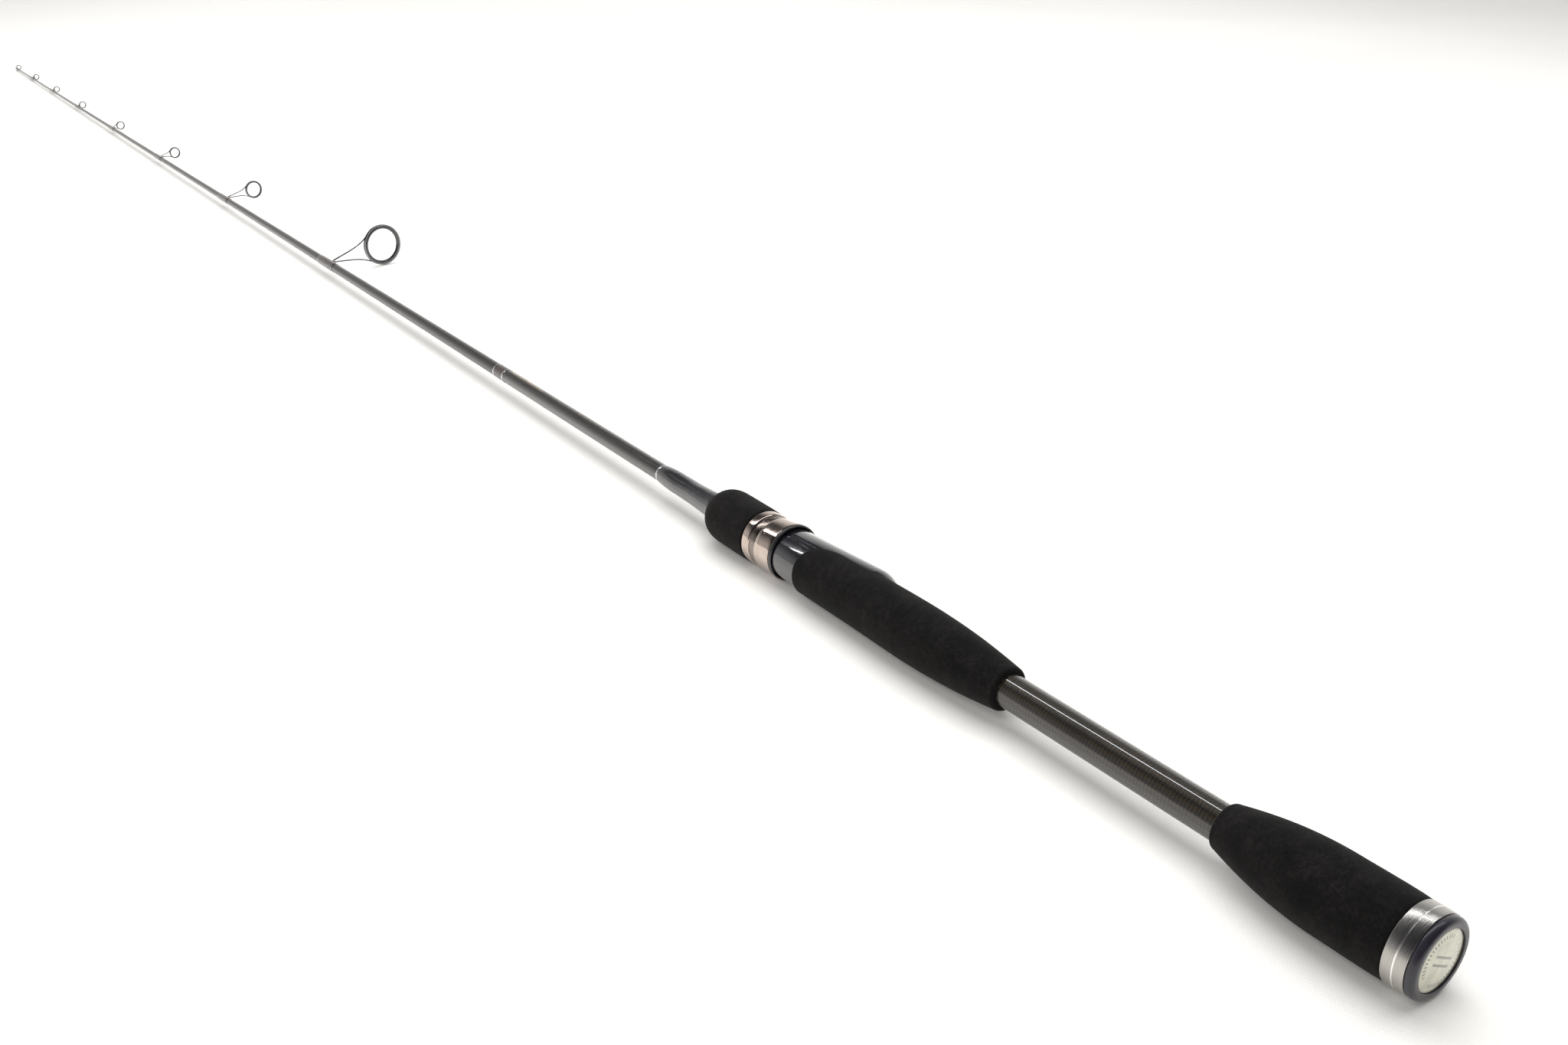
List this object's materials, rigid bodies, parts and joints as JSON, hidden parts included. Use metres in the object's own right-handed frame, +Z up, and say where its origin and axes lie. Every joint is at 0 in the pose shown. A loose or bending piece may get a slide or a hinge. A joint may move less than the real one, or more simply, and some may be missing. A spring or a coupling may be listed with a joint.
{
  "type": "spinning rod",
  "caption": "One-piece spinning rod with split foam grips, a screw-locking reel seat, a tapered carbon blank and single-foot line guides",
  "frame": {"origin": "centre of the butt's end face, on the rod's axis", "axes": "+X from the butt to the tip along the rod's axis; -Y towards the line guides and the reel foot, because the rod lies on its side; +Z up"},
  "size_m": [2.011, 0.0735, 0.0296],
  "materials": {
    "black_plastic": "satin moulded black",
    "pearl_disc": "pearl lacquer, slightly domed",
    "butt_metal": "turned, fine rings, one groove",
    "eva_foam": "fine closed-cell foam, matte",
    "woven_carbon": "diagonal carbon weave under clear lacquer",
    "arbor": "plain hard foam",
    "gloss_black": "polished black",
    "champagne": "anodised, polished",
    "dark_plastic": "dark grey moulding",
    "silver_trim": "thin metallic trim",
    "label_coat": "clear-coated dark section with plain gold marks",
    "carbon_blank": "ground and lacquered carbon",
    "thread_wrap": "dark brown thread under epoxy",
    "guide_steel": "grey plated wire and strip",
    "guide_ceramic": "polished dark ceramic"
  },
  "bodies": {
    "rod": {"butt_cap": "black_plastic", "butt_disc": "pearl_disc", "butt_ring": "butt_metal", "butt_grip": "eva_foam", "butt_plug": "black_plastic", "handle_tube": "woven_carbon", "tube_arbor_rear": "arbor", "tube_arbor_front": "arbor", "rear_grip": "eva_foam", "palm_grip": "eva_foam", "seat_body": "gloss_black", "seat_arbor": "arbor", "barrel_arbor": "arbor", "seat_wrap": "gloss_black", "band_rear": "silver_trim", "label_section": "label_coat", "band_mid": "silver_trim", "shoulder_wrap": "thread_wrap", "band_front": "silver_trim", "blank": "carbon_blank", "guide_frame_1": "guide_steel", "guide_ring_1": "guide_ceramic", "guide_wrap_1": "thread_wrap", "guide_frame_2": "guide_steel", "guide_ring_2": "guide_ceramic", "guide_wrap_2": "thread_wrap", "guide_frame_3": "guide_steel", "guide_ring_3": "guide_ceramic", "guide_wrap_3": "thread_wrap", "guide_frame_4": "guide_steel", "guide_ring_4": "guide_ceramic", "guide_wrap_4": "thread_wrap", "guide_frame_5": "guide_steel", "guide_ring_5": "guide_ceramic", "guide_wrap_5": "thread_wrap", "guide_frame_6": "guide_steel", "guide_ring_6": "guide_ceramic", "guide_wrap_6": "thread_wrap", "guide_frame_7": "guide_steel", "guide_ring_7": "guide_ceramic", "guide_wrap_7": "thread_wrap", "stripper_band": "silver_trim", "tip_tube": "guide_steel", "tip_frame": "guide_steel", "tip_ring": "guide_ceramic", "tip_wrap": "thread_wrap"},
    "hood": {"hood_sleeve": "champagne", "hood_insert": "dark_plastic"},
    "lock_nut": {"nut_core": "dark_plastic", "nut_ring": "champagne", "foregrip": "eva_foam", "winding_check": "silver_trim"}
  },
  "joints": [
    {"name": "hood_slide", "type": "slide", "parent": "rod", "child": "hood", "axis": [1, 0, 0], "range_m": [-0.004, 0.018]},
    {"name": "nut_turn", "type": "hinge", "parent": "hood", "child": "lock_nut", "pos_m": [0.345, 0, 0], "axis": [1, 0, 0], "range_deg": [-720, 3240]}
  ],
  "couplings": [
    {"joint": "hood_slide", "follows": "nut_turn", "m_per_rad": 0.0003183}
  ]
}
